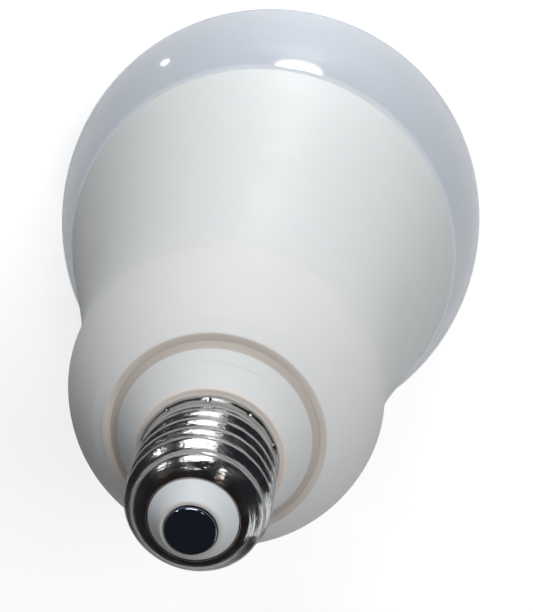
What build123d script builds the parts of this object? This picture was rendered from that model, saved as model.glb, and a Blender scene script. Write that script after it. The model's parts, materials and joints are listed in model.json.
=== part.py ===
from build123d import *
import math
import os

# Smart flood lamp with a 26 mm screw cap. Millimetres.
# The origin is the middle of the centre contact's face. +Z points out of the cap along
# the lamp's axis, so the whole lamp hangs below the origin, with its light going down.

# ---- driving sizes ----------------------------------------------------------------------

# cap
contact_r = 4.5
contact_thick = 1.3
contact_edge_r = 0.45
insulator_r = 7.95
insulator_drop = 4.1
insulator_nose_r = 5.3
insulator_nose_drop = 0.9
insulator_nose_fillet = 0.2
insulator_seat_length = 3.0
thread_pitch = 3.629
thread_crest_r = 13.05
thread_depth = 0.95
thread_start = 7.9
thread_turns = 4.0
thread_ridge_half = 1.05
thread_root_sink = 0.1
shell_wall = 0.35
tip_length = 4.2
tip_middle_drop = 1.2
tip_middle_share = 0.72
skirt_step = 0.15
skirt_height = 2.8
skirt_flare_length = 0.8
cap_length = 26.0
crimp_count = 10
crimp_turn = 17.0
crimp_height_share = 0.5
crimp_depth = 0.2
crimp_ball_r = 0.6
pin_r = 1.3
pin_head_r = 2.6
pin_head_thick = 1.0
pin_end_z = -9.0

# collar between the cap and the housing
collar_foot_step = 1.4
collar_rim_step = 1.4
collar_height = 8.7
collar_edge_drop = 1.2
collar_wall = 1.8
collar_skirt_length = 16.0
collar_foot_chamfer = 0.5
collar_roof_thick = 1.6
collar_edge_fillet = 0.9
spigot_wall = 1.7
spigot_reach = 2.0
lead_notch_height = 7.0
lug_count = 3
lug_height = 1.6
lug_width = 5.0
lug_hook = 0.9

# housing
neck_gap_r = 20.3
ledge_width = 1.7
ledge_rise = 0.7
ledge_fillet = 0.5
shoulder_r = 32.9
shoulder_height = 18.9
shoulder_bulge = 1.6
horn_length = 91.0
seam_r = 52.8
housing_wall = 1.8
neck_tube_length = 14.0
seal_width = 1.6
seal_height = 1.8

# the horn's curve: how far out and how far down its two inner control points are
horn_waist_out = 0.02
horn_waist_down = 0.29
horn_flare_out = 0.52
horn_flare_down = 0.605

# diffuser
rim_r = 63.3
diffuser_side = 43.0
dome_height = 13.0
dome_rim_down = 0.70
dome_face_out = 0.69
diffuser_wall = 1.6
lip_wall = 1.4
lip_length = 5.0
web_thick = 1.6

# heat path and lamp board
cup_wall = 1.2
cup_plate_thick = 2.0
cup_depth_share = 0.46
plate_above_seam = 7.5
pad_thick = 0.5
led_board_thick = 1.6
board_edge_gap = 2.6
pad_edge_gap = 1.0
led_length = 3.5
led_width = 2.8
led_height = 0.8
outer_ring_count = 12
inner_ring_count = 8
colour_count = 6
outer_ring_inset = 6.5
colour_ring_inset = 7.0
inner_ring_turn = 10
colour_ring_turn = 30
reflector_wall = 0.6
reflector_foot_width = 1.6
reflector_foot_height = 1.2
reflector_rim_drop = 4.0
screw_count = 3
screw_ring_step = 3.8
screw_r = 1.25
screw_head_r = 2.3
screw_head_thick = 1.6
screw_slot = 0.5
screw_slot_length = 2.6
screw_slot_depth = 0.8
screw_bite = 6.0

# driver
sleeve_wall = 1.1
sleeve_floor = 2.0
sleeve_flange_step = 7.3
sleeve_overlap = 7.0
boss_r = 2.9
boss_length = 9.0
boss_cap = 1.2
driver_thick = 1.6
driver_offset = 5.0
driver_side_gap = 1.3
driver_end_gap = 3.0
driver_head_gap = 2.0
small_fillet = 0.6
lead_r = 0.75

# radio
radio_width = 14.0
radio_thick = 0.8
radio_length = 27.0
radio_y = 0.4
radio_rise = 10.0
radio_slot_margin = 1.0
radio_slot_width = 3.0
shield_width = 11.0
shield_height = 8.0
shield_thick = 1.8
shield_drop = 1.2
shield_fillet = 0.8
antenna_thick = 0.1
antenna_track = 0.5
antenna_length = 11.0
antenna_finger = 2.2
antenna_pitch = 2.1
antenna_drop = 1.6

# link between the driver and the lamp board
link_pin = 0.64
pin_pitch = 2.54
pin_count = 4
link_slot_x = 12.0
link_slot_y = 2.6
link_slot_margin = 1.0
link_board_slot_y = 1.6
link_pin_drop = 3.5
link_pin_rise = 6.0
socket_height = 4.5
socket_width = 3.0
socket_margin = 0.6
socket_hole_gap = 0.3

# clearances
slip = 0.15
seat_gap = 0.05
free_gap = 0.4
cap_gap = 0.35

# ---- levels and radii that follow ---------------------------------------------------------

collar_foot_z = -cap_length - cap_gap
collar_rim_z = -cap_length - collar_height
neck_z = collar_rim_z - collar_edge_drop
ledge_z = neck_z + ledge_rise
shoulder_z = ledge_z - shoulder_height
seam_z = shoulder_z - horn_length
rim_z = seam_z - diffuser_side
apex_z = rim_z - dome_height

thread_root_r = thread_crest_r - thread_depth
skirt_r = thread_crest_r + skirt_step
collar_foot_r = skirt_r + collar_foot_step
collar_rim_r = neck_gap_r - collar_rim_step
ledge_r = neck_gap_r + ledge_width

shell_inner_r = thread_root_r - shell_wall
spigot_r = shell_inner_r - slip
spigot_bore_r = spigot_r - spigot_wall
spigot_tip_z = -insulator_drop - tip_length - spigot_reach
skirt_top_z = -cap_length + skirt_height

collar_skirt_r = neck_gap_r - free_gap
collar_inner_r = collar_skirt_r - collar_wall
collar_skirt_end_z = neck_z - collar_skirt_length
neck_tube_end_z = neck_z - neck_tube_length

plate_z = seam_z + plate_above_seam
board_z = plate_z - cup_plate_thick - pad_thick
led_z = board_z - led_board_thick
lip_top_z = seam_z + lip_length

cup_depth = horn_length * cup_depth_share

# the sleeve reaches up into the collar's skirt
sleeve_r = collar_inner_r - free_gap
sleeve_inner_r = sleeve_r - sleeve_wall
sleeve_flange_r = sleeve_r + sleeve_flange_step
screw_ring_r = sleeve_r + screw_ring_step
sleeve_top_z = collar_skirt_end_z + sleeve_overlap
sleeve_length = sleeve_top_z - plate_z

# the driver board is the widest that fits across the sleeve at its offset
driver_width = 2 * (math.sqrt(sleeve_inner_r ** 2 - driver_offset ** 2) - driver_side_gap)
driver_top_z = sleeve_top_z - driver_head_gap
driver_end_z = plate_z + sleeve_floor + driver_end_gap
driver_length = driver_top_z - driver_end_z
driver_face_y = -driver_offset + driver_thick
driver_back_y = -driver_offset


# ---- outlines shared by several pieces ----------------------------------------------------

def horn_points(inset):
    """Control points of the horn's outline, moved in by a wall."""
    waist_r = shoulder_r + horn_waist_out * (seam_r - shoulder_r)
    flare_r = shoulder_r + horn_flare_out * (seam_r - shoulder_r)
    return [
        (shoulder_r - inset, shoulder_z),
        (waist_r - inset, shoulder_z - horn_waist_down * horn_length),
        (flare_r - inset, shoulder_z - horn_flare_down * horn_length),
        (seam_r - inset, seam_z),
    ]


def horn_radius(level):
    """Outer radius of the horn at a level, by halving along the curve."""
    points = horn_points(0.0)
    low, high = 0.0, 1.0
    for _ in range(40):
        t = (low + high) / 2
        blend = [(1 - t) ** 3, 3 * t * (1 - t) ** 2, 3 * t * t * (1 - t), t ** 3]
        z = sum(b * p[1] for b, p in zip(blend, points))
        if z > level:
            low = t
        else:
            high = t
    return sum(b * p[0] for b, p in zip(blend, points))


def shoulder_middle(inset):
    """Point half way along the shoulder's bulged outline."""
    middle_r = (ledge_r + shoulder_r) / 2 + shoulder_bulge
    middle_z = (ledge_z + shoulder_z) / 2 + shoulder_bulge * 0.6
    return (middle_r - inset * 0.8, middle_z - inset * 0.6)


def dome_points(inset):
    """Control points of the diffuser's rounded rim and shallow face."""
    return [
        (rim_r - inset, rim_z),
        (rim_r - inset, rim_z - dome_rim_down * dome_height + 0.5 * inset),
        (dome_face_out * rim_r, apex_z + inset),
        (0.0, apex_z + inset),
    ]


lip_r = horn_radius(lip_top_z) - housing_wall - slip
board_r = lip_r - lip_wall - board_edge_gap

os.makedirs("parts", exist_ok=True)

# ---- cap: contact, insulator, shell -------------------------------------------------------

with BuildPart() as centre_contact:
    with BuildSketch(Plane.XY.offset(-contact_thick)):
        Circle(contact_r)
    extrude(amount=contact_thick)
    fillet(centre_contact.edges().group_by(Axis.Z)[-1], contact_edge_r)
centre_contact.part.label = "centre_contact"
export_step(centre_contact.part, "parts/centre_contact.step")

with BuildPart() as contact_pin:
    with BuildSketch(Plane.XY.offset(pin_end_z)):
        Circle(pin_r)
    extrude(amount=-pin_end_z - contact_thick)
    with BuildSketch(Plane.XY.offset(pin_end_z)):
        Circle(pin_head_r)
    extrude(amount=pin_head_thick)
contact_pin.part.label = "contact_pin"
export_step(contact_pin.part, "parts/contact_pin.step")

insulator_back_z = -insulator_drop - insulator_seat_length
with BuildPart() as cap_insulator:
    with BuildSketch(Plane.XZ):
        with BuildLine():
            Polyline(
                (pin_r + slip, -contact_thick),
                (contact_r + slip, -contact_thick),
                (contact_r + slip, -insulator_nose_drop),
                (insulator_nose_r, -insulator_nose_drop),
                (insulator_r - slip, -insulator_drop),
                (insulator_r - slip, insulator_back_z),
                (pin_r + slip, insulator_back_z),
                close=True,
            )
        make_face()
    revolve(axis=Axis.Z)
    nose = cap_insulator.edges().filter_by(GeomType.CIRCLE).group_by(Axis.Z)[-1]
    fillet(nose.sort_by(SortBy.RADIUS)[-1], insulator_nose_fillet)
cap_insulator.part.label = "cap_insulator"
export_step(cap_insulator.part, "parts/cap_insulator.step")

tip_mid_r = insulator_r + tip_middle_share * (thread_root_r - insulator_r)
tip_mid_z = -insulator_drop - tip_middle_drop
tip_end_z = -insulator_drop - tip_length


def shell_outline(inset):
    """Outline of the rolled shell from the insulator to the skirt, moved in by its wall."""
    Spline(
        (insulator_r, -insulator_drop - inset),
        (tip_mid_r - 0.6 * inset, tip_mid_z - 0.8 * inset),
        (thread_root_r - inset, tip_end_z),
        tangents=((1, -0.1), (0, -1)),
    )
    Polyline(
        (thread_root_r - inset, tip_end_z),
        (thread_root_r - inset, skirt_top_z + skirt_flare_length - 0.5 * inset),
        (skirt_r - inset, skirt_top_z - 0.5 * inset),
        (skirt_r - inset, -cap_length),
    )


with BuildPart() as screw_shell:
    with BuildSketch(Plane.XZ):
        with BuildLine():
            shell_outline(0.0)
            shell_outline(shell_wall)
            Line((insulator_r, -insulator_drop), (insulator_r, -insulator_drop - shell_wall))
            Line((skirt_r, -cap_length), (skirt_r - shell_wall, -cap_length))
        make_face()
    revolve(axis=Axis.Z)
    thread_path = Helix(
        thread_pitch,
        thread_turns * thread_pitch,
        thread_root_r,
        center=(0, 0, -thread_start - thread_turns * thread_pitch),
    )
    ridge_plane = Plane(
        origin=thread_path @ 0,
        x_dir=(1, 0, 0),
        z_dir=thread_path % 0,
    )
    with BuildSketch(ridge_plane):
        with BuildLine():
            ridge_top = ThreePointArc(
                (-thread_root_sink, -thread_ridge_half),
                (thread_depth, 0),
                (-thread_root_sink, thread_ridge_half),
            )
            Line(ridge_top @ 1, ridge_top @ 0)
        make_face()
    sweep(path=thread_path, is_frenet=True)
    with Locations(Plane.XY.offset(-cap_length + skirt_height * crimp_height_share)):
        with PolarLocations(skirt_r + crimp_ball_r - crimp_depth, crimp_count, start_angle=crimp_turn):
            Sphere(crimp_ball_r, mode=Mode.SUBTRACT)
screw_shell.part.label = "screw_shell"
export_step(screw_shell.part, "parts/screw_shell.step")

# ---- neck collar --------------------------------------------------------------------------

collar_step_r = skirt_r - shell_wall - slip
with BuildPart() as neck_collar:
    with BuildSketch(Plane.XZ):
        with BuildLine():
            Polyline(
                (spigot_bore_r, spigot_tip_z),
                (spigot_r, spigot_tip_z),
                (spigot_r, skirt_top_z - free_gap),
                (collar_step_r, skirt_top_z - free_gap - (collar_step_r - spigot_r) * 0.6),
                (collar_step_r, collar_foot_z),
                (collar_foot_r - collar_foot_chamfer, collar_foot_z),
                (collar_foot_r, collar_foot_z - collar_foot_chamfer),
                (collar_rim_r, collar_rim_z),
                (collar_skirt_r, neck_z + slip),
                (collar_skirt_r, collar_skirt_end_z),
                (collar_inner_r, collar_skirt_end_z),
                (collar_inner_r, collar_rim_z - collar_roof_thick),
                (collar_foot_r - 2 * collar_roof_thick, collar_foot_z - 1.6 * collar_roof_thick),
                (spigot_bore_r, collar_foot_z - 0.75 * collar_roof_thick),
                close=True,
            )
        make_face()
    revolve(axis=Axis.Z)
    rim_edge = neck_collar.edges().filter_by(GeomType.CIRCLE).filter_by(
        lambda e: abs(e.radius - collar_rim_r) < 0.01
    )
    fillet(rim_edge, collar_edge_fillet)
    # bayonet lugs that hook under the housing's neck tube
    lug_reach = neck_gap_r + lug_hook - collar_inner_r
    lug_mid_z = neck_tube_end_z - seat_gap - lug_height / 2
    with Locations(Plane.XY.offset(lug_mid_z)):
        with PolarLocations(collar_inner_r + lug_reach / 2, lug_count):
            Box(lug_reach, lug_width, lug_height)
    # notch that lets the neutral lead out to the shell
    with Locations((spigot_r - spigot_wall / 2, 0, spigot_tip_z)):
        Box(spigot_wall * 2, 2 * lead_r + 2 * slip, lead_notch_height, mode=Mode.SUBTRACT)
neck_collar.part.label = "neck_collar"
export_step(neck_collar.part, "parts/neck_collar.step")

# ---- housing: ledge, bulged shoulder and horn ---------------------------------------------

inner_ledge_r = ledge_r + housing_wall / 2
inner_ledge_z = ledge_z - housing_wall * 1.7
with BuildPart() as housing:
    with BuildSketch(Plane.XZ):
        with BuildLine():
            Polyline(
                (neck_gap_r, neck_tube_end_z),
                (neck_gap_r, neck_z),
                (ledge_r, ledge_z),
            )
            ThreePointArc((ledge_r, ledge_z), shoulder_middle(0.0), (shoulder_r, shoulder_z))
            Bezier(*horn_points(0.0))
            Line((seam_r, seam_z), (seam_r - housing_wall, seam_z))
            Bezier(*horn_points(housing_wall))
            ThreePointArc(
                (shoulder_r - housing_wall, shoulder_z),
                shoulder_middle(housing_wall),
                (inner_ledge_r, inner_ledge_z),
            )
            Polyline(
                (inner_ledge_r, inner_ledge_z),
                (neck_gap_r + housing_wall, inner_ledge_z - housing_wall / 2),
                (neck_gap_r + housing_wall, neck_tube_end_z),
                (neck_gap_r, neck_tube_end_z),
            )
        make_face()
    revolve(axis=Axis.Z)
    ledge_edge = housing.edges().filter_by(GeomType.CIRCLE).filter_by(
        lambda e: abs(e.radius - ledge_r) < 0.01
    )
    fillet(ledge_edge, ledge_fillet)
housing.part.label = "housing"
export_step(housing.part, "parts/housing.step")

seal_r = neck_gap_r + housing_wall + free_gap
with BuildPart() as collar_seal:
    with BuildSketch(Plane.XY.offset(neck_tube_end_z)):
        Circle(seal_r + seal_width)
        Circle(seal_r, mode=Mode.SUBTRACT)
    extrude(amount=seal_height)
collar_seal.part.label = "collar_seal"
export_step(collar_seal.part, "parts/collar_seal.step")

# ---- diffuser -----------------------------------------------------------------------------

with BuildPart() as diffuser:
    with BuildSketch(Plane.XZ):
        with BuildLine():
            TangentArc((rim_r, rim_z), (seam_r, seam_z - seat_gap), tangent=(0, 1))
            Bezier(*dome_points(0.0))
            Line((0, apex_z), (0, apex_z + diffuser_wall))
            Bezier(*dome_points(diffuser_wall))
            inner_side = TangentArc(
                (rim_r - diffuser_wall, rim_z),
                (seam_r - diffuser_wall, seam_z - seat_gap),
                tangent=(0, 1),
            )
            Line(inner_side @ 1, (seam_r, seam_z - seat_gap))
        make_face()
    revolve(axis=Axis.Z)
    with BuildSketch(Plane.XY.offset(seam_z - seat_gap)):
        Circle(seam_r - diffuser_wall / 2)
        Circle(lip_r - lip_wall, mode=Mode.SUBTRACT)
    extrude(amount=-web_thick)
    with BuildSketch(Plane.XY.offset(lip_top_z)):
        Circle(lip_r)
        Circle(lip_r - lip_wall, mode=Mode.SUBTRACT)
    extrude(amount=seam_z - seat_gap - lip_top_z)
diffuser.part.label = "diffuser"
export_step(diffuser.part, "parts/diffuser.step")

# ---- heat cup, pad, lamp board ------------------------------------------------------------

cup_inset = housing_wall + slip
cup_r = horn_radius(plate_z) - cup_inset
link_y = driver_face_y + link_pin / 2 + seat_gap
with BuildPart() as heat_cup:
    with BuildSketch(Plane.XZ):
        with BuildLine():
            Bezier(*horn_points(cup_inset))
            Bezier(*horn_points(cup_inset + cup_wall))
            Line(horn_points(cup_inset)[0], horn_points(cup_inset + cup_wall)[0])
            Line(horn_points(cup_inset)[3], horn_points(cup_inset + cup_wall)[3])
        make_face()
    revolve(axis=Axis.Z)
    split(bisect_by=Plane.XY.offset(plate_z), keep=Keep.TOP)
    split(bisect_by=Plane.XY.offset(plate_z + cup_depth), keep=Keep.BOTTOM)
    with BuildSketch(Plane.XY.offset(plate_z)):
        Circle(cup_r)
    extrude(amount=-cup_plate_thick)
    with BuildSketch(Plane.XY.offset(plate_z - cup_plate_thick)):
        Rectangle(radio_width + 2 * radio_slot_margin, radio_slot_width + radio_slot_margin)
        with Locations((0, link_y)):
            Rectangle(link_slot_x, link_slot_y)
        with PolarLocations(screw_ring_r, screw_count):
            Circle(screw_r + slip)
    extrude(amount=cup_plate_thick, mode=Mode.SUBTRACT)
heat_cup.part.label = "heat_cup"
export_step(heat_cup.part, "parts/heat_cup.step")

with BuildPart() as thermal_pad:
    with BuildSketch(Plane.XY.offset(board_z)):
        Circle(board_r - pad_edge_gap)
        Rectangle(
            radio_width + 3 * radio_slot_margin,
            radio_slot_width + 2 * radio_slot_margin,
            mode=Mode.SUBTRACT,
        )
        with Locations((0, link_y)):
            Rectangle(link_slot_x + link_slot_margin, link_slot_y, mode=Mode.SUBTRACT)
        with PolarLocations(screw_ring_r, screw_count):
            Circle(screw_r + free_gap, mode=Mode.SUBTRACT)
    extrude(amount=pad_thick)
thermal_pad.part.label = "thermal_pad"
export_step(thermal_pad.part, "parts/thermal_pad.step")

with BuildPart() as led_board:
    with BuildSketch(Plane.XY.offset(led_z)):
        Circle(board_r)
        Rectangle(radio_width + radio_slot_margin, radio_slot_width, mode=Mode.SUBTRACT)
        with Locations((0, link_y)):
            Rectangle(link_slot_x - link_slot_margin, link_board_slot_y, mode=Mode.SUBTRACT)
        with PolarLocations(screw_ring_r, screw_count):
            Circle(screw_r + slip, mode=Mode.SUBTRACT)
    extrude(amount=led_board_thick)
led_board.part.label = "led_board"
export_step(led_board.part, "parts/led_board.step")

outer_ring_r = board_r - outer_ring_inset
inner_ring_r = (outer_ring_r + screw_ring_r + screw_head_r) / 2
colour_ring_r = screw_ring_r - colour_ring_inset


def led_ring(ring_r, count, turn):
    """One ring of lamp chips on the board's face."""
    with Locations(Plane.XY.offset(led_z - led_height / 2)):
        with PolarLocations(ring_r, count, start_angle=turn):
            Box(led_width, led_length, led_height)


with BuildPart() as warm_leds:
    led_ring(outer_ring_r, outer_ring_count, 0)
    led_ring(inner_ring_r, inner_ring_count, inner_ring_turn)
warm_leds.part.label = "warm_leds"
export_step(warm_leds.part, "parts/warm_leds.step")

with BuildPart() as cool_leds:
    led_ring(outer_ring_r, outer_ring_count, 180 / outer_ring_count)
    led_ring(inner_ring_r, inner_ring_count, inner_ring_turn + 180 / inner_ring_count)
cool_leds.part.label = "cool_leds"
export_step(cool_leds.part, "parts/cool_leds.step")

with BuildPart() as colour_leds:
    led_ring(colour_ring_r, colour_count, colour_ring_turn)
colour_leds.part.label = "colour_leds"
export_step(colour_leds.part, "parts/colour_leds.step")

screw_length = led_board_thick + pad_thick + cup_plate_thick + screw_bite
with BuildPart() as board_screws:
    with BuildSketch(Plane.XY.offset(led_z)):
        with PolarLocations(screw_ring_r, screw_count):
            Circle(screw_r)
    extrude(amount=screw_length)
    with BuildSketch(Plane.XY.offset(led_z)):
        with PolarLocations(screw_ring_r, screw_count):
            Circle(screw_head_r)
    extrude(amount=-screw_head_thick)
    with BuildSketch(Plane.XY.offset(led_z - screw_head_thick)):
        with PolarLocations(screw_ring_r, screw_count):
            Rectangle(screw_slot_length, screw_slot)
            Rectangle(screw_slot, screw_slot_length)
    extrude(amount=screw_slot_depth, mode=Mode.SUBTRACT)
board_screws.part.label = "board_screws"
export_step(board_screws.part, "parts/board_screws.step")

reflector_in_r = board_r - 1.5 * reflector_foot_width
reflector_out_r = lip_r - lip_wall - free_gap
reflector_z = led_z - seat_gap
reflector_rim_z = seam_z - reflector_rim_drop
with BuildPart() as reflector_cone:
    with BuildSketch(Plane.XZ):
        with BuildLine():
            Polyline(
                (reflector_in_r, reflector_z),
                (reflector_in_r, reflector_z - reflector_wall),
                (reflector_out_r - reflector_wall, reflector_rim_z),
                (reflector_out_r, reflector_rim_z),
                (reflector_out_r, reflector_z - reflector_foot_height),
                (reflector_in_r + reflector_foot_width, reflector_z),
                close=True,
            )
        make_face()
    revolve(axis=Axis.Z)
reflector_cone.part.label = "reflector_cone"
export_step(reflector_cone.part, "parts/reflector_cone.step")

with BuildPart() as diffuser_seal:
    with BuildSketch(Plane.XY.offset(lip_top_z + seat_gap)):
        Circle(lip_r - free_gap)
        Circle(lip_r - free_gap - lip_wall, mode=Mode.SUBTRACT)
    extrude(amount=plate_z - cup_plate_thick - lip_top_z - 2 * seat_gap)
diffuser_seal.part.label = "diffuser_seal"
export_step(diffuser_seal.part, "parts/diffuser_seal.step")

# ---- driver sleeve and board --------------------------------------------------------------

with BuildPart() as driver_sleeve:
    with BuildSketch(Plane.XY.offset(plate_z)):
        Circle(sleeve_r)
    extrude(amount=sleeve_length)
    with BuildSketch(Plane.XY.offset(plate_z + sleeve_floor)):
        Circle(sleeve_inner_r)
    extrude(amount=sleeve_length, mode=Mode.SUBTRACT)
    with BuildSketch(Plane.XY.offset(plate_z)):
        Circle(sleeve_flange_r)
        Circle(sleeve_inner_r, mode=Mode.SUBTRACT)
    extrude(amount=sleeve_floor)
    with BuildSketch(Plane.XY.offset(plate_z)):
        with PolarLocations(screw_ring_r, screw_count):
            Circle(boss_r)
    extrude(amount=boss_length)
    with BuildSketch(Plane.XY.offset(plate_z)):
        with PolarLocations(screw_ring_r, screw_count):
            Circle(screw_r)
    extrude(amount=boss_length - boss_cap, mode=Mode.SUBTRACT)
    with BuildSketch(Plane.XY.offset(plate_z)):
        Rectangle(radio_width + radio_slot_margin, radio_slot_width)
        with Locations((0, link_y)):
            Rectangle(link_slot_x, link_slot_y)
    extrude(amount=sleeve_floor, mode=Mode.SUBTRACT)
driver_sleeve.part.label = "driver_sleeve"
export_step(driver_sleeve.part, "parts/driver_sleeve.step")

with BuildPart() as driver_board:
    with Locations((0, driver_back_y + driver_thick / 2, (driver_top_z + driver_end_z) / 2)):
        Box(driver_width, driver_thick, driver_length)
driver_board.part.label = "driver_board"
export_step(driver_board.part, "parts/driver_board.step")


def on_board(across, height, down):
    """Middle of a part on the board's face, at shares of the board's width and length."""
    return (across * driver_width, driver_face_y + height / 2, driver_top_z - down * driver_length)


def behind_board(across, height, down):
    """Middle of a part on the board's back, at shares of the board's width and length."""
    return (across * driver_width, driver_back_y - height / 2, driver_top_z - down * driver_length)


fuse_r = 0.055 * driver_width
fuse_length = 8.0
with BuildPart() as fuse_resistor:
    with Locations(on_board(-0.362, 2 * fuse_r + 2 * slip, 0.105)):
        Cylinder(fuse_r, fuse_length)
    fillet(fuse_resistor.edges().filter_by(GeomType.CIRCLE), fuse_r * 0.3)
fuse_resistor.part.label = "fuse_resistor"
export_step(fuse_resistor.part, "parts/fuse_resistor.step")

varistor_r = 0.145 * driver_width
varistor_thick = 0.11 * driver_width
with BuildPart() as varistor:
    with Locations(on_board(0.31, varistor_thick, 0.117)):
        Cylinder(varistor_r, varistor_thick, rotation=(90, 0, 0))
    fillet(varistor.edges().filter_by(GeomType.CIRCLE), varistor_thick * 0.25)
varistor.part.label = "varistor"
export_step(varistor.part, "parts/varistor.step")

film_length = 0.345 * driver_width
film_height = 0.276 * driver_width
film_thick = 5.0
with BuildPart() as film_capacitor:
    with Locations(on_board(-0.052, film_height, 0.123)):
        Box(film_length, film_height, film_thick)
    fillet(film_capacitor.edges().filter_by(Axis.Y), small_fillet)
film_capacitor.part.label = "film_capacitor"
export_step(film_capacitor.part, "parts/film_capacitor.step")

bridge_length = 0.224 * driver_width
bridge_width = 5.0
bridge_height = 2.4
with BuildPart() as bridge_rectifier:
    with Locations(on_board(0.31, bridge_height, 0.229)):
        Box(bridge_length, bridge_height, bridge_width)
    chamfer(bridge_rectifier.edges().group_by(Axis.Y)[-1], small_fillet / 2)
bridge_rectifier.part.label = "bridge_rectifier"
export_step(bridge_rectifier.part, "parts/bridge_rectifier.step")

drum_r = 0.145 * driver_width
drum_height = 0.31 * driver_width
drum_core_r = drum_r * 0.48
drum_flange = 1.4
drum_place = on_board(-0.259, drum_height, 0.238)
flange_reach = (drum_height - drum_flange) / 2
with BuildPart() as inductor_core:
    with Locations(drum_place):
        Cylinder(drum_core_r, drum_height, rotation=(90, 0, 0))
        with Locations((0, -flange_reach, 0), (0, flange_reach, 0)):
            Cylinder(drum_r, drum_flange, rotation=(90, 0, 0))
inductor_core.part.label = "inductor_core"
export_step(inductor_core.part, "parts/inductor_core.step")

coil_height = drum_height - 2 * drum_flange - 2 * seat_gap
with BuildPart() as inductor_winding:
    with Locations(drum_place):
        Cylinder(drum_r - free_gap, coil_height, rotation=(90, 0, 0))
        Cylinder(drum_core_r + seat_gap, coil_height, rotation=(90, 0, 0), mode=Mode.SUBTRACT)
inductor_winding.part.label = "inductor_winding"
export_step(inductor_winding.part, "parts/inductor_winding.step")

bulk_cap_r = 0.214 * driver_width
bulk_cap_length = 0.245 * driver_length
bulk_down = 0.449
with BuildPart() as bulk_capacitor:
    with Locations(on_board(0, 2 * bulk_cap_r + 2 * slip, bulk_down)):
        Cylinder(bulk_cap_r, bulk_cap_length)
    fillet(bulk_capacitor.edges().filter_by(GeomType.CIRCLE), small_fillet)
bulk_capacitor.part.label = "bulk_capacitor"
export_step(bulk_capacitor.part, "parts/bulk_capacitor.step")

# the transformer's core has a round window along Y, with a post through it
core_x = 0.62 * driver_width
core_y = 0.448 * driver_width
core_z = 0.379 * driver_width
window_r = 0.234 * driver_width
post_r = 0.103 * driver_width
window_height = 0.31 * driver_width
bulk_end_down = bulk_down + bulk_cap_length / 2 / driver_length
core_clearance = 1.5
transformer_down = bulk_end_down + (2 * core_clearance + core_z / 2) / driver_length
transformer_place = on_board(0, core_y, transformer_down)
with BuildPart() as transformer_core:
    with Locations(transformer_place):
        Box(core_x, core_y, core_z)
        Cylinder(window_r, window_height, rotation=(90, 0, 0), mode=Mode.SUBTRACT)
        Cylinder(post_r, (window_height + core_y) / 2, rotation=(90, 0, 0))
transformer_core.part.label = "transformer_core"
export_step(transformer_core.part, "parts/transformer_core.step")

bobbin_wall = 0.5
bobbin_bore_r = post_r + seat_gap
bobbin_height = window_height - 2 * seat_gap
with BuildPart() as transformer_bobbin:
    with Locations(transformer_place):
        Cylinder(window_r - slip, bobbin_height, rotation=(90, 0, 0))
        Cylinder(window_r, bobbin_height - 2 * bobbin_wall, rotation=(90, 0, 0), mode=Mode.SUBTRACT)
        Cylinder(bobbin_bore_r + bobbin_wall, bobbin_height, rotation=(90, 0, 0))
        Cylinder(bobbin_bore_r, bobbin_height, rotation=(90, 0, 0), mode=Mode.SUBTRACT)
transformer_bobbin.part.label = "transformer_bobbin"
export_step(transformer_bobbin.part, "parts/transformer_bobbin.step")

coil_length = bobbin_height - 2 * bobbin_wall - 2 * seat_gap
coil_bore_r = bobbin_bore_r + bobbin_wall + seat_gap
with BuildPart() as transformer_winding:
    with Locations(transformer_place):
        Cylinder(window_r - slip - free_gap, coil_length, rotation=(90, 0, 0))
        Cylinder(coil_bore_r, coil_length, rotation=(90, 0, 0), mode=Mode.SUBTRACT)
transformer_winding.part.label = "transformer_winding"
export_step(transformer_winding.part, "parts/transformer_winding.step")

out_cap_r = 0.134 * driver_width
out_cap_height = 0.345 * driver_width
out_cap_down = transformer_down + (core_z / 2 + core_clearance + out_cap_r) / driver_length
with BuildPart() as output_capacitor:
    with Locations(on_board(-0.259, out_cap_height, out_cap_down)):
        Cylinder(out_cap_r, out_cap_height, rotation=(90, 0, 0))
    fillet(output_capacitor.edges().group_by(Axis.Y)[-1], small_fillet)
output_capacitor.part.label = "output_capacitor"
export_step(output_capacitor.part, "parts/output_capacitor.step")

chip_height = 1.5
chip_length = 5.0
chip_width = 4.0
main_chip_side = 7.0
with BuildPart() as controller_chips:
    with Locations(behind_board(-0.138, chip_height, 0.28), behind_board(0.155, chip_height, 0.51)):
        Box(chip_length, chip_height, chip_width)
    with Locations(behind_board(0, chip_height, 0.72)):
        Box(main_chip_side, chip_height, main_chip_side)
controller_chips.part.label = "controller_chips"
export_step(controller_chips.part, "parts/controller_chips.step")

passive_length = 2.0
passive_width = 1.25
passive_height = 0.6
passive_pitch = 0.13 * driver_width
with BuildPart() as small_passives:
    with Locations(behind_board(0, passive_height, 0.395)):
        with GridLocations(passive_pitch, 1, 5, 1):
            Box(passive_length, passive_height, passive_width)
    with Locations(behind_board(0, passive_height, 0.62)):
        with GridLocations(passive_pitch, 1, 6, 1):
            Box(passive_length, passive_height, passive_width)
small_passives.part.label = "small_passives"
export_step(small_passives.part, "parts/small_passives.step")

# ---- leads from the cap -------------------------------------------------------------------

lead_lane_y = driver_face_y + lead_r + seat_gap
lead_drop = 13.0
lead_bend_z = driver_top_z + 9.0
lead_bend_r = 4.0
neutral_bend_r = 2.5
lead_end_z = driver_top_z - 4.0
live_x = -0.248 * driver_width
neutral_x = 0.207 * driver_width
with BuildPart() as live_lead:
    with BuildLine() as live_route:
        FilletPolyline(
            (0, 0, pin_end_z - seat_gap),
            (0, 0, pin_end_z - lead_drop),
            (live_x, lead_lane_y, lead_bend_z),
            (live_x, lead_lane_y, lead_end_z),
            radius=lead_bend_r,
        )
    with BuildSketch(Plane.XY.offset(pin_end_z - seat_gap)):
        Circle(lead_r)
    sweep(path=live_route.line)
live_lead.part.label = "live_lead"
export_step(live_lead.part, "parts/live_lead.step")

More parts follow.
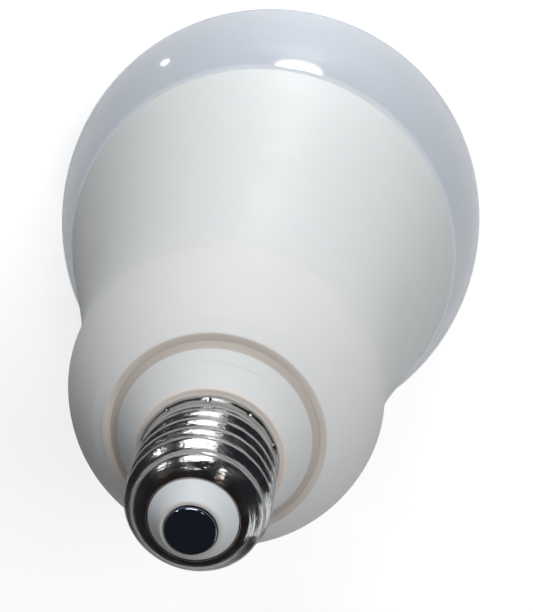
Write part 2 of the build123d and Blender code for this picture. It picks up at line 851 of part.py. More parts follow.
neutral_top_z = spigot_tip_z - lead_notch_height / 4
with BuildPart() as neutral_lead:
    with BuildLine() as neutral_route:
        FilletPolyline(
            (shell_inner_r - seat_gap, 0, neutral_top_z),
            (neutral_x, 0, neutral_top_z),
            (neutral_x, lead_lane_y, lead_bend_z),
            (neutral_x, lead_lane_y, lead_end_z),
            radius=neutral_bend_r,
        )
    with BuildSketch(Plane.YZ.offset(shell_inner_r - seat_gap)):
        with Locations((0, neutral_top_z)):
            Circle(lead_r)
    sweep(path=neutral_route.line)
neutral_lead.part.label = "neutral_lead"
export_step(neutral_lead.part, "parts/neutral_lead.step")

# ---- link between the boards, radio -------------------------------------------------------

link_bottom_z = led_z - link_pin_drop
link_top_z = driver_end_z + link_pin_rise
with BuildPart() as link_pins:
    with Locations((0, link_y, (link_bottom_z + link_top_z) / 2)):
        with GridLocations(pin_pitch, 1, pin_count, 1):
            Box(link_pin, link_pin, link_top_z - link_bottom_z)
link_pins.part.label = "link_pins"
export_step(link_pins.part, "parts/link_pins.step")

socket_hole = link_pin + socket_hole_gap
with BuildPart() as link_socket:
    with Locations((0, link_y, led_z - socket_height / 2)):
        Box(pin_pitch * pin_count + socket_margin, socket_width, socket_height)
        with GridLocations(pin_pitch, 1, pin_count, 1):
            Box(socket_hole, socket_hole, socket_height, mode=Mode.SUBTRACT)
link_socket.part.label = "link_socket"
export_step(link_socket.part, "parts/link_socket.step")

radio_top_z = plate_z + radio_rise
radio_end_z = radio_top_z - radio_length
with BuildPart() as radio_board:
    with Locations((0, radio_y, (radio_top_z + radio_end_z) / 2)):
        Box(radio_width, radio_thick, radio_length)
radio_board.part.label = "radio_board"
export_step(radio_board.part, "parts/radio_board.step")

shield_z = led_z - shield_drop - shield_height / 2
with BuildPart() as radio_shield:
    with Locations((0, radio_y + radio_thick / 2 + shield_thick / 2, shield_z)):
        Box(shield_width, shield_thick, shield_height)
    fillet(radio_shield.edges().filter_by(Axis.Y), shield_fillet)
radio_shield.part.label = "radio_shield"
export_step(radio_shield.part, "parts/radio_shield.step")

antenna_z = radio_end_z + antenna_drop
with BuildPart() as radio_antenna:
    with Locations((0, radio_y + radio_thick / 2 + antenna_thick / 2, antenna_z)):
        Box(antenna_length, antenna_thick, antenna_track)
        with GridLocations(antenna_pitch, 1, 5, 1):
            Box(antenna_track, antenna_thick, antenna_finger)
radio_antenna.part.label = "radio_antenna"
export_step(radio_antenna.part, "parts/radio_antenna.step")
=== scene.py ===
import json
import math
import bpy
import numpy as np
from mathutils import Matrix, Vector


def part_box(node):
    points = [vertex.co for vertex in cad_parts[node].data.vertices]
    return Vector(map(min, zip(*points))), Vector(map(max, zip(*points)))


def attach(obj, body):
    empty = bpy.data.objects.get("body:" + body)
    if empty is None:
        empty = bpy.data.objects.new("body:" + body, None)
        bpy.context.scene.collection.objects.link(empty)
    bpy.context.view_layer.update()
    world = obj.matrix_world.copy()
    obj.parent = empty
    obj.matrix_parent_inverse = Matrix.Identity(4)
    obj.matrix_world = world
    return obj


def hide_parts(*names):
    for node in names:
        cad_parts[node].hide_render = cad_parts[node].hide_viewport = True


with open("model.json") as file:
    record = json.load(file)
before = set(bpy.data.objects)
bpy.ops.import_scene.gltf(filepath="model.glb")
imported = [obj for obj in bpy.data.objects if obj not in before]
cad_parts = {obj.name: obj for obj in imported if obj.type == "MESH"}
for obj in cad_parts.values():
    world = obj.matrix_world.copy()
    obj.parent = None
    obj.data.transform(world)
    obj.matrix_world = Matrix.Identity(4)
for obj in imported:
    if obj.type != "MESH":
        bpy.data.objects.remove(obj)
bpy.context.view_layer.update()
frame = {"nodes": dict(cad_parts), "record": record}

# The lamp's axis is Z. The cap's contact is at the origin and the light goes down.
MM = 0.001
SEGMENTS = 288
SLOT_OF = {row["node"]: row["material_slot"] for row in frame["record"]["subparts"]}


# ---- places that the frame gives ---------------------------------------------------------

def low_z(node):
    """Lowest level of a node."""
    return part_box(node)[0][2]


def high_z(node):
    """Highest level of a node."""
    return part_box(node)[1][2]


def wide_r(node):
    """Largest radius of a round node."""
    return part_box(node)[1][0]


CONTACT_R = wide_r("centre_contact")
CONTACT_LOW = low_z("centre_contact")
SHELL_TOP = high_z("screw_shell")
CAP_END = low_z("screw_shell")
SKIRT_R = wide_r("screw_shell")
LEDGE_Z = high_z("housing")
SEAM_Z = low_z("housing")
SEAM_R = wide_r("housing")
APEX_Z = low_z("diffuser")
RIM_R = wide_r("diffuser")

# cap sizes that the lamp's standard gives
THREAD_PITCH = 3.629 * MM
THREAD_MEAN_R = 12.55 * MM
THREAD_SWING = 0.48 * MM
THREAD_PHASE = 0.42 * MM
THREAD_FADE = 0.6 * MM
THREAD_END = CAP_END + 3.3 * MM
SHELL_WALL = 0.35 * MM
INSULATOR_R = 7.95 * MM
CRIMPS = 10
CRIMP_TURN = 17.0
CRIMP_Z = CAP_END + 1.15 * MM
CRIMP_R = 0.6 * MM
CRIMP_DEPTH = 0.35 * MM
SKIRT_RIPPLE = 0.05 * MM

# collar and housing, measured down from the cap's end and out from the axis
COLLAR_FOOT_R = 14.6 * MM
COLLAR_RIM_R = 18.9 * MM
NECK_GAP_R = 20.3 * MM
LEDGE_R = 22.0 * MM
LEDGE_RISE = 0.7 * MM
SHOULDER_R = 32.9 * MM
SHOULDER_HEIGHT = 18.9 * MM
SHOULDER_BULGE = 1.6 * MM
DIFFUSER_SIDE = 43.0 * MM
HOUSING_WALL = 1.8 * MM
DIFFUSER_WALL = 1.6 * MM

NECK_Z = LEDGE_Z - LEDGE_RISE
SHOULDER_Z = LEDGE_Z - SHOULDER_HEIGHT
RIM_Z = SEAM_Z - DIFFUSER_SIDE
INNER_DEPTH = 12 * MM
MOULD_GAP = 0.01 * MM

# colours of the outer pieces
NICKEL = (0.56, 0.57, 0.575)
# brown tarnish at the shell's tip, partly a painted reflection of brown surroundings
BROWN_FILM_AND_REFLECTION = (0.36, 0.22, 0.15, 1.0)
DULL_FOOT = (0.42, 0.36, 0.31, 1.0)
DARK_NICKEL = (0.30, 0.34, 0.42)
# light specks on the contact: scuff marks whose lightness is a painted glint
SCUFF_GLINT = (0.85, 0.86, 0.90, 1.0)
GLAZE = (0.70, 0.74, 0.77)
WARM_NOSE = (0.60, 0.53, 0.47, 1.0)
COLLAR_WHITE = (0.75, 0.77, 0.78)
COLLAR_FOOT_TINT = (0.82, 0.74, 0.68, 1.0)
MOULD_LINE = (0.42, 0.40, 0.38, 1.0)
# darker tan over the collar's rim out to the ledge: a tint plus painted shade of the groove
RIM_TINT_AND_SHADE = (0.545, 0.50, 0.455, 1.0)
HOUSING_WHITE = (0.80, 0.825, 0.835)
SHOULDER_TINT = (0.80, 0.79, 0.78, 1.0)
# darker tan on the housing in the neck's groove: a tint plus painted shade of the groove
LEDGE_TINT_AND_SHADE = (0.665, 0.61, 0.56, 1.0)
OPAL = (0.425, 0.465, 0.52)
# painted light: a faint glow that brightens the opal cover
OPAL_PAINTED_GLOW = (0.82, 0.90, 1.0, 1.0)
OPAL_PAINTED_GLOW_LEVEL = 0.118
OPAL_LIP = (0.76, 0.79, 0.82, 1.0)

# the studio round the lamp
LAMP_MIDDLE = (0.0, 0.0, -0.09)
LIGHT_REACH = 0.62
FLOOR_REACH = 3.0
FLOOR_WHITE = (0.90, 0.90, 0.90)
FLOOR_GLOW = 0.58
ROOM_TINT = (0.95, 0.97, 1.0, 1.0)
ROOM_FILL = 0.04
REFLECTED_TINT = (0.75, 0.80, 0.90, 1.0)
REFLECTED_FILL = 0.035
BACKDROP_LEVEL = 0.72

# the camera: its lens in millimetres, its place, and which ways its right and its back point
CAMERA_SENSOR = 36.0
CAMERA_LENS = 71.581
CAMERA_PLACE = (0.026022, 0.104606, 0.174114)
CAMERA_RIGHT = (0.99709, 0.0, -0.07617)
CAMERA_BACK = (0.07148, 0.34557, 0.93567)


# ---- outlines ----------------------------------------------------------------------------

def bezier(points, count):
    """Points along a cubic curve."""
    t = np.linspace(0, 1, count)[:, None]
    p = np.array(points, dtype=float)
    curve = (1 - t) ** 3 * p[0] + 3 * t * (1 - t) ** 2 * p[1]
    curve = curve + 3 * t * t * (1 - t) * p[2] + t ** 3 * p[3]
    return [tuple(row) for row in curve]


def bow(start, middle, end, count):
    """Points along a smooth bow through three points."""
    t = np.linspace(0, 1, count)[:, None]
    a, m, c = (np.array(v, dtype=float) for v in (start, middle, end))
    control = 2 * m - (a + c) / 2
    curve = (1 - t) ** 2 * a + 2 * t * (1 - t) * control + t * t * c
    return [tuple(row) for row in curve]


def rounded(corners, steps=7):
    """A run of straight lines with rounded corners. Each corner is (r, z, rounding)."""
    points = []
    for i, (r, z, size) in enumerate(corners):
        here = np.array((r, z))
        if size == 0 or i in (0, len(corners) - 1):
            points.append((r, z))
            continue
        before = np.array(corners[i - 1][:2]) - here
        after = np.array(corners[i + 1][:2]) - here
        reach = min(size, 0.48 * np.linalg.norm(before), 0.48 * np.linalg.norm(after))
        a = here + before / np.linalg.norm(before) * reach
        c = here + after / np.linalg.norm(after) * reach
        for t in np.linspace(0, 1, steps):
            point = (1 - t) ** 2 * a + 2 * t * (1 - t) * here + t * t * c
            points.append(tuple(point))
    return points


def lathe(name, outline, closed=True, segments=SEGMENTS, lift=None, sharp=50):
    """Turns an outline of (r, z) points round the axis. A point at r = 0 becomes a pole."""
    outline = np.array(outline, dtype=float)
    angles = np.linspace(0, 2 * math.pi, segments, endpoint=False)
    verts, rings = [], []
    for index, (r, z) in enumerate(outline):
        if r < 1e-7:
            rings.append([len(verts)])
            verts.append((0.0, 0.0, z))
            continue
        start = len(verts)
        for angle in angles:
            dr, dz = lift(index, r, z, angle) if lift else (0.0, 0.0)
            verts.append(((r + dr) * math.cos(angle), (r + dr) * math.sin(angle), z + dz))
        rings.append(list(range(start, start + segments)))
    faces = []
    count = len(rings)
    for i in range(count if closed else count - 1):
        a, b = rings[i], rings[(i + 1) % count]
        if len(a) == 1 and len(b) == 1:
            continue
        for j in range(segments):
            k = (j + 1) % segments
            if len(a) == 1:
                faces.append((a[0], b[k], b[j]))
            elif len(b) == 1:
                faces.append((a[j], a[k], b[0]))
            else:
                faces.append((a[j], a[k], b[k], b[j]))
    mesh = bpy.data.meshes.new(name)
    mesh.from_pydata(verts, [], faces)
    mesh.validate()
    mesh.update()
    piece = bpy.data.objects.new(name, mesh)
    bpy.context.scene.collection.objects.link(piece)
    bpy.context.view_layer.objects.active = piece
    mesh.polygons.foreach_set("use_smooth", [True] * len(mesh.polygons))
    mesh.set_sharp_from_angle(angle=math.radians(sharp))
    fix_outward(mesh)
    return piece


def fix_outward(mesh):
    """Turns every face to look out of the closed body."""
    mesh.calc_loop_triangles()
    points = np.array([v.co for v in mesh.vertices])
    tris = np.array([t.vertices for t in mesh.loop_triangles])
    a, b, c = points[tris[:, 0]], points[tris[:, 1]], points[tris[:, 2]]
    if np.einsum("ij,ij->i", a, np.cross(b, c)).sum() < 0:
        mesh.flip_normals()


# ---- materials ---------------------------------------------------------------------------

class Nodes:
    """A material's node tree, with short calls for the nodes used here."""

    def __init__(self, name):
        self.material = bpy.data.materials.new(name)
        self.material.use_nodes = True
        self.tree = self.material.node_tree
        self.shader = self.tree.nodes["Principled BSDF"]
        self.place = self.tree.nodes.new("ShaderNodeTexCoord").outputs["Object"]

    def link(self, source, target):
        self.tree.links.new(source, target)

    def stretch(self, sx, sy, sz):
        """Object coordinates scaled along each axis."""
        node = self.tree.nodes.new("ShaderNodeMapping")
        node.inputs["Scale"].default_value = (sx, sy, sz)
        self.link(self.place, node.inputs["Vector"])
        return node.outputs["Vector"]

    def noise(self, scale, detail=3.0, vector=None, rough=0.5):
        node = self.tree.nodes.new("ShaderNodeTexNoise")
        node.inputs["Scale"].default_value = scale
        node.inputs["Detail"].default_value = detail
        node.inputs["Roughness"].default_value = rough
        self.link(vector or self.place, node.inputs["Vector"])
        return node.outputs["Fac"]

    def specks(self, scale, size):
        """Small round specks: 1 inside a speck, 0 elsewhere."""
        node = self.tree.nodes.new("ShaderNodeTexVoronoi")
        node.inputs["Scale"].default_value = scale
        self.link(self.place, node.inputs["Vector"])
        return self.ramp(node.outputs["Distance"], size, size * 0.5, 0.0, 1.0)

    def ramp(self, value, low, high, out_low, out_high):
        node = self.tree.nodes.new("ShaderNodeMapRange")
        node.inputs["From Min"].default_value = low
        node.inputs["From Max"].default_value = high
        node.inputs["To Min"].default_value = out_low
        node.inputs["To Max"].default_value = out_high
        self.link(value, node.inputs["Value"])
        return node.outputs["Result"]

    def math(self, operation, a, b):
        node = self.tree.nodes.new("ShaderNodeMath")
        node.operation = operation
        for socket, value in zip(node.inputs, (a, b)):
            if isinstance(value, (int, float)):
                socket.default_value = value
            else:
                self.link(value, socket)
        return node.outputs["Value"]

    def mix(self, amount, a, b):
        """Blend of two colours, each a colour or a socket."""
        node = self.tree.nodes.new("ShaderNodeMix")
        node.data_type = "RGBA"
        if isinstance(amount, (int, float)):
            node.inputs[0].default_value = amount
        else:
            self.link(amount, node.inputs[0])
        for socket, value in ((node.inputs[6], a), (node.inputs[7], b)):
            if isinstance(value, tuple):
                socket.default_value = value
            else:
                self.link(value, socket)
        return node.outputs[2]

    def height(self):
        """Level along the lamp's axis, in metres."""
        node = self.tree.nodes.new("ShaderNodeSeparateXYZ")
        self.link(self.place, node.inputs["Vector"])
        return node.outputs["Z"]

    def band(self, middle, half, soft):
        """1 in a band of levels about middle, fading to 0 over soft."""
        away = self.math("ABSOLUTE", self.math("SUBTRACT", self.height(), middle), 0.0)
        return self.ramp(away, half, half + soft, 1.0, 0.0)

    def ring(self, inner, outer, soft):
        """1 between two radii about the lamp's axis, fading to 0 over soft."""
        node = self.tree.nodes.new("ShaderNodeSeparateXYZ")
        self.link(self.place, node.inputs["Vector"])
        x, y = node.outputs["X"], node.outputs["Y"]
        square = self.math("ADD", self.math("MULTIPLY", x, x), self.math("MULTIPLY", y, y))
        radius = self.math("POWER", square, 0.5)
        rise = self.ramp(radius, inner - soft, inner, 0.0, 1.0)
        return self.math("MULTIPLY", rise, self.ramp(radius, outer, outer + soft, 1.0, 0.0))

    def bump(self, heights, strength, distance):
        node = self.tree.nodes.new("ShaderNodeBump")
        node.inputs["Strength"].default_value = strength
        node.inputs["Distance"].default_value = distance
        self.link(heights, node.inputs["Height"])
        self.link(node.outputs["Normal"], self.shader.inputs["Normal"])

    def colour(self, socket):
        self.link(socket, self.shader.inputs["Base Color"])

    def roughness(self, socket):
        self.link(socket, self.shader.inputs["Roughness"])


def tone(rgb, factor=1.0):
    """A colour made lighter or darker, with its alpha."""
    return tuple(min(1.0, c * factor) for c in rgb[:3]) + (1.0,)


def plastic(name, rgb, rough, grain=0.0, coat=0.0, speck=0.0, scatter=0.0, reach=0.004):
    """Moulded plastic: faint mottling, a fine moulded grain, uneven gloss and a few specks."""
    n = Nodes(name)
    mottle = n.ramp(n.noise(55.0, 4.0), 0.3, 0.7, 0.0, 1.0)
    shade = n.mix(mottle, tone(rgb, 0.988), tone(rgb, 1.008))
    if speck:
        shade = n.mix(n.math("MULTIPLY", n.specks(260.0, 0.035), speck), shade, tone(rgb, 0.45))
    n.shade = shade
    n.colour(shade)
    n.roughness(n.ramp(n.noise(120.0, 5.0), 0.3, 0.7, rough * 0.88, rough * 1.14))
    n.bump(n.noise(3800.0, 2.0), 0.12 + grain, 0.00004)
    n.shader.inputs["Specular IOR Level"].default_value = 0.5
    n.shader.inputs["Coat Weight"].default_value = coat
    n.shader.inputs["Coat Roughness"].default_value = 0.08
    if scatter:
        n.shader.inputs["Subsurface Weight"].default_value = scatter
        n.shader.inputs["Subsurface Radius"].default_value = (reach, reach, reach * 1.1)
        n.shader.inputs["Subsurface Scale"].default_value = 1.0
    return n


def metal(name, rgb, rough, scratch=0.5, across=(1.0, 1.0, 9.0)):
    """Bright metal: drawn scratches, cloudy handling marks and uneven polish."""
    n = Nodes(name)
    n.shader.inputs["Metallic"].default_value = 1.0
    clouds = n.ramp(n.noise(240.0, 5.0), 0.35, 0.7, 0.0, 1.0)
    n.shade = n.mix(clouds, tone(rgb, 0.90), tone(rgb, 1.04))
    n.colour(n.shade)
    lines = n.noise(900.0, 3.0, n.stretch(*across), 0.6)
    n.roughness(n.ramp(n.math("ADD", lines, clouds), 0.5, 1.4, rough * 0.6, rough * 1.7))
    if scratch:
        n.bump(lines, 0.06 * scratch, 0.00005)
    return n


def shell_material():
    """Nickel plate with rolling marks, small dents, and a brown tarnish by the insulator that also
    stands in for the tip's brownish reflection, as painted reflection.
    """
    n = metal("nickel_shell", NICKEL, 0.16, 0.0)
    # painted reflection: the brown band by the insulator is partly tarnish and partly the tip's
    # brownish reflection painted in
    tip = n.band(SHELL_TOP, 0.25 * MM, 0.9 * MM)
    film_and_reflection = n.math("MULTIPLY", tip, n.ramp(n.noise(420.0, 3.0), 0.35, 0.6, 0.2, 0.8))
    shade = n.mix(film_and_reflection, n.shade, BROWN_FILM_AND_REFLECTION)
    foot = n.band(CAP_END, 0.4 * MM, 2.2 * MM)
    shade = n.mix(n.math("MULTIPLY", foot, 0.3), shade, DULL_FOOT)
    n.colour(shade)
    rolled = n.noise(420.0, 3.0, n.stretch(1.0, 1.0, 5.0), 0.55)
    dents = n.noise(210.0, 3.0)
    heights = n.math("ADD", n.math("MULTIPLY", rolled, 0.55), dents)
    n.bump(heights, 0.32, 0.0005)
    return n.material


def contact_material():
    """Polished disc with a few tiny scuff marks near its middle, coloured lighter as painted
    glints.
    """
    n = metal("nickel_contact", DARK_NICKEL, 0.07, 0.5, (1.0, 1.0, 1.0))
    middle = n.math("MULTIPLY", n.ring(0.0, 0.5 * MM, 0.6 * MM), 0.8)
    scuff_glints = n.math("MULTIPLY", n.specks(1400.0, 0.3), middle)
    # painted glints: the scuff marks are coloured lighter than the nickel
    n.colour(n.mix(scuff_glints, n.shade, SCUFF_GLINT))
    n.roughness(n.ramp(scuff_glints, 0.0, 1.0, 0.07, 0.5))
    return n.material


def insulator_material():
    """Glazed off-white insulator, a little warmer at its nose."""
    n = plastic("glazed_insulator", GLAZE, 0.5, 0.0, 0.0, 0.25)
    nose = n.band(CONTACT_LOW + 0.45 * MM, 0.12 * MM, 0.35 * MM)
    n.colour(n.mix(n.math("MULTIPLY", nose, 0.55), n.shade, WARM_NOSE))
    return n.material


def collar_material():
    """White moulding, uncoated and ivory by the shell; beyond its rim a darker tan band, a tint
    plus painted shade of the groove.
    """
    n = plastic("collar_white", COLLAR_WHITE, 0.5, 0.1, 0.0, 0.5, 0.1)
    foot = n.ring(SKIRT_R, COLLAR_FOOT_R - 0.2 * MM, 0.35 * MM)
    shade = n.mix(n.math("MULTIPLY", foot, 0.8), n.shade, COLLAR_FOOT_TINT)
    line = n.band(NECK_Z + 4.2 * MM, 0.06 * MM, 0.25 * MM)
    patch = n.ramp(n.noise(70.0, 2.0), 0.5, 0.65, 0.0, 0.2)
    shade = n.mix(n.math("MULTIPLY", line, patch), shade, MOULD_LINE)
    # painted shade: the band from the rim out to the ledge is darkened tan to stand for the
    # groove's shade
    rim = n.ring(COLLAR_RIM_R, LEDGE_R, 0.12 * MM)
    n.colour(n.mix(rim, shade, RIM_TINT_AND_SHADE))
    return n.material


def housing_material():
    """Satin white moulding: tan in the neck's groove, a tint plus painted shade of the groove;
    clean white along the horn.
    """
    n = plastic("housing_white", HOUSING_WHITE, 0.55, 0.12, 0.0, 0.35, 0.1)
    shoulder = n.band(SHOULDER_Z + 8 * MM, 9 * MM, 9 * MM)
    shade = n.mix(n.math("MULTIPLY", shoulder, 0.3), n.shade, SHOULDER_TINT)
    # painted shade: the groove band on the housing is darkened tan to stand for the groove's shade
    n.colour(n.mix(n.ring(COLLAR_RIM_R, LEDGE_R - 0.5 * MM, 0.25 * MM), shade, LEDGE_TINT_AND_SHADE))
    return n.material


def diffuser_material():
    """Opal cover: cool and glossy, a little translucent, with faint wipe marks and a faint painted
    glow that brightens it.
    """
    n = plastic("diffuser_opal", OPAL, 0.12, 0.0, 0.4, 0.1, 0.3)
    # painted light: a faint glow brightens the cover all over
    n.shader.inputs["Emission Color"].default_value = OPAL_PAINTED_GLOW
    n.shader.inputs["Emission Strength"].default_value = OPAL_PAINTED_GLOW_LEVEL
    wipes = n.noise(30.0, 4.0, n.stretch(1.0, 1.0, 3.0), 0.6)
    n.roughness(n.ramp(wipes, 0.35, 0.75, 0.07, 0.17))
    lip = n.band(SEAM_Z, 0.25 * MM, 2.2 * MM)
    n.colour(n.mix(n.math("MULTIPLY", lip, 0.6), n.shade, OPAL_LIP))
    return n.material


def inner_material(slot, row):
    """Procedural finish of a piece inside the lamp, by its class."""
    rgb = tuple(row["base_color"][:3])
    if row["class"] in ("chrome", "brushed_steel", "aluminium", "brass"):
        return metal("in_" + slot, rgb, 0.30, 1.0).material
    rough = 0.25 if row["class"] == "gloss_plastic" else 0.55
    return plastic("in_" + slot, rgb, rough, 0.2, 0.0, 0.3).material


# ---- the lamp's outer pieces ---------------------------------------------------------------

def finish_piece(piece, node, material):
    """Gives a piece its material, hangs it on the root body and hides the CAD node it replaces."""
    piece.data.materials.append(material)
    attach(piece, "root")
    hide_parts(node)


def make_contact():
    """Thick polished disc, very slightly crowned, with a soft rim."""
    crown = 0.12 * MM
    edge = 0.55 * MM
    top = [(0.0, 0.0)]
    for share in np.linspace(0.12, 1.0, 9):
        r = share * (CONTACT_R - edge)
        top.append((r, -crown * share ** 2))
    turn = [
        (CONTACT_R - edge + edge * math.sin(a), -crown - edge + edge * math.cos(a))
        for a in np.linspace(0.15, math.pi / 2, 9)
    ]
    skirt = [(CONTACT_R, CONTACT_LOW), (0.0, CONTACT_LOW)]
    piece = lathe("contact_disc", top + turn + skirt, closed=False, segments=128)
    finish_piece(piece, "centre_contact", contact_material())


def make_insulator():
    """Glazed cone: a raised nose round the contact, a hollow sweep, and a rounded foot."""
    inside = 1.5 * MM
    nose_r = CONTACT_R + 0.75 * MM
    nose_z = CONTACT_LOW + 0.45 * MM
    outline = rounded([
        (inside, CONTACT_LOW - 0.02 * MM, 0),
        (CONTACT_R + 0.12 * MM, CONTACT_LOW - 0.02 * MM, 0),
        (CONTACT_R + 0.14 * MM, nose_z, 0.2 * MM),
        (nose_r, nose_z - 0.02 * MM, 0.35 * MM),
        (0.5 * (nose_r + INSULATOR_R), SHELL_TOP + 1.25 * MM, 2.0 * MM),
        (INSULATOR_R - 0.12 * MM, SHELL_TOP - 0.15 * MM, 0.3 * MM),
        (INSULATOR_R - 0.15 * MM, SHELL_TOP - 3.0 * MM, 0),
        (inside, SHELL_TOP - 3.0 * MM, 0),
    ])
    piece = lathe("insulator_cone", outline, segments=192)
    finish_piece(piece, "cap_insulator", insulator_material())


def thread_lift(z, angle):
    """How far the rolled thread moves the shell's wall out or in: a right-hand helix."""
    turns = (z - THREAD_PHASE) / THREAD_PITCH - angle / (2 * math.pi)
    fade_in = min(1.0, max(0.0, (SHELL_TOP - THREAD_FADE - z) / (1.1 * THREAD_PITCH)))
    fade_out = min(1.0, max(0.0, (z - THREAD_END) / (0.25 * THREAD_PITCH)))
    return THREAD_SWING * fade_in ** 0.7 * fade_out * math.cos(2 * math.pi * turns)


def make_shell():
    """Rolled shell: turned-in lip, rounded tip, helical thread and crimped skirt."""
    lip = [
        (INSULATOR_R + 0.02 * MM, SHELL_TOP - 0.40 * MM),
        (INSULATOR_R + 0.05 * MM, SHELL_TOP - 0.08 * MM),
        (INSULATOR_R + 0.20 * MM, SHELL_TOP),
        (INSULATOR_R + 0.38 * MM, SHELL_TOP - 0.06 * MM),
    ]
    tip = bezier([
        lip[-1],
        (INSULATOR_R + 1.9 * MM, SHELL_TOP - 0.8 * MM),
        (THREAD_MEAN_R - 0.25 * MM, SHELL_TOP - 2.5 * MM),
        (THREAD_MEAN_R, SHELL_TOP - 6.9 * MM),
    ], 60)[1:]
    body = [(THREAD_MEAN_R, z) for z in np.linspace(SHELL_TOP - 7.0 * MM, THREAD_END, 110)]
    # the skirt stays slim past the thread, then flares to its crimped edge
    heights = np.array([3.3, 2.9, 2.1, 1.3, 0.75, 0.3, 0.0]) * MM
    radii = np.array([-0.65, -0.55, -0.60, -0.52, -0.12, 0.0, -0.06]) * MM
    levels = np.linspace(heights[0], 0.0, 44)
    skirt_r = np.interp(-levels, -heights, SKIRT_R + radii)
    skirt = soften([(r, CAP_END + z) for r, z in zip(skirt_r, levels)], 3)[1:]
    outer = lip + tip + body + skirt
    skirt_start = len(outer) - len(skirt)
    outer_count = len(outer)
    mean_inner = [
        (r - SHELL_WALL - THREAD_SWING * (z < SHELL_TOP - 3 * MM), z - 0.1 * MM)
        for r, z in outer
    ]
    outline = outer + mean_inner[len(lip):-2:4][::-1]
    crimps = [math.radians(CRIMP_TURN + 360 / CRIMPS * k) for k in range(CRIMPS)]

    def lift(index, r, z, angle):
        if index >= outer_count:
            return (0.0, 0.0)
        if index < skirt_start:
            return (thread_lift(z, angle), 0.0)
        near_edge = max(0.0, 1.0 - (z - CAP_END) / (1.6 * MM))
        inward = SKIRT_RIPPLE * math.sin(CRIMPS * angle) * near_edge
        for place in crimps:
            turn = (angle - place + math.pi) % (2 * math.pi) - math.pi
            away = math.hypot(turn * SKIRT_R, z - CRIMP_Z) / CRIMP_R
            if away < 1.6:
                inward -= CRIMP_DEPTH * math.exp(-2.2 * away ** 2)
        return (inward, 0.0)

    piece = lathe("shell_threaded", outline, segments=360, lift=lift, sharp=70)
    finish_piece(piece, "screw_shell", shell_material())


def make_collar():
    """Stepped collar: groove by the shell, steep cone, soft rim, side wall to the gap."""
    foot_z = CAP_END - 0.35 * MM
    rim_z = CAP_END - 8.7 * MM
    inside_r = SKIRT_R - 0.6 * MM
    outline = rounded([
        (inside_r, foot_z - 0.05 * MM, 0),
        (SKIRT_R + 0.3 * MM, foot_z - 0.1 * MM, 0.3 * MM),
        (COLLAR_FOOT_R - 0.3 * MM, foot_z + 0.05 * MM, 0.5 * MM),
        (COLLAR_FOOT_R, foot_z - 0.6 * MM, 0.6 * MM),
        (COLLAR_RIM_R, rim_z, 0.45 * MM),
        (NECK_GAP_R - 0.3 * MM, rim_z - 0.75 * MM, 0.5 * MM),
        (NECK_GAP_R - MOULD_GAP, rim_z - 0.8 * MM, 0.03 * MM),
        (NECK_GAP_R - MOULD_GAP, NECK_Z - INNER_DEPTH, 0),
        (NECK_GAP_R - 2.2 * MM, NECK_Z - INNER_DEPTH, 0),
        (NECK_GAP_R - 2.2 * MM, rim_z - 1.6 * MM, 0),
        (COLLAR_FOOT_R - 3.4 * MM, foot_z - 2.6 * MM, 0),
    ], 9)
    piece = lathe("collar_ring", outline)
    finish_piece(piece, "neck_collar", collar_material())


def horn_curve(inset, count):
    """The horn's outline, moved in by a wall."""
    length = SHOULDER_Z - SEAM_Z
    spread = SEAM_R - SHOULDER_R
    return bezier([
        (SHOULDER_R - inset, SHOULDER_Z),
        (SHOULDER_R + 0.02 * spread - inset, SHOULDER_Z - 0.29 * length),
        (SHOULDER_R + 0.52 * spread - inset, SHOULDER_Z - 0.605 * length),
        (SEAM_R - inset, SEAM_Z),
    ], count)


def make_housing():
    """Ledge, bulged shoulder with a soft crease below it, and the flared horn."""
    middle = (
        (LEDGE_R + SHOULDER_R) / 2 + SHOULDER_BULGE,
        (LEDGE_Z + SHOULDER_Z) / 2 + SHOULDER_BULGE * 0.6,
    )
    ledge = rounded([
        (NECK_GAP_R, NECK_Z - INNER_DEPTH, 0),
        (NECK_GAP_R, CAP_END - 9.5 * MM, 0.03 * MM),
        (NECK_GAP_R + 0.35 * MM, CAP_END - 9.45 * MM, 0.3 * MM),
        (LEDGE_R - 0.35 * MM, LEDGE_Z - 0.02 * MM, 0.8 * MM),
        (LEDGE_R + 1.2 * MM, LEDGE_Z - 1.55 * MM, 0),
    ], 8)
    shoulder = bow((LEDGE_R, LEDGE_Z), middle, (SHOULDER_R, SHOULDER_Z), 40)
    shoulder = [p for p in shoulder if p[1] < LEDGE_Z - 1.55 * MM]
    horn = horn_curve(0.0, 90)[1:-1]
    mouth = rounded([
        (horn[-1][0], horn[-1][1], 0),
        (SEAM_R, SEAM_Z, 0.35 * MM),
        (SEAM_R - HOUSING_WALL, SEAM_Z, 0),
    ], 6)[1:]
    inside = horn_curve(HOUSING_WALL, 30)[::-1][1:]
    inside += [(NECK_GAP_R + 6 * MM, NECK_Z - 7 * MM), (NECK_GAP_R + HOUSING_WALL, NECK_Z - 3 * MM)]
    inside += [(NECK_GAP_R + HOUSING_WALL, NECK_Z - INNER_DEPTH)]
    piece = lathe("housing_body", soften(ledge + shoulder + horn, 3) + mouth + inside)
    finish_piece(piece, "housing", housing_material())


def soften(points, rounds):
    """Eases the creases between neighbouring runs by averaging, ends kept."""
    p = np.array(points, dtype=float)
    for _ in range(rounds):
        p[1:-1] = 0.5 * p[1:-1] + 0.25 * (p[:-2] + p[2:])
    return [tuple(row) for row in p]


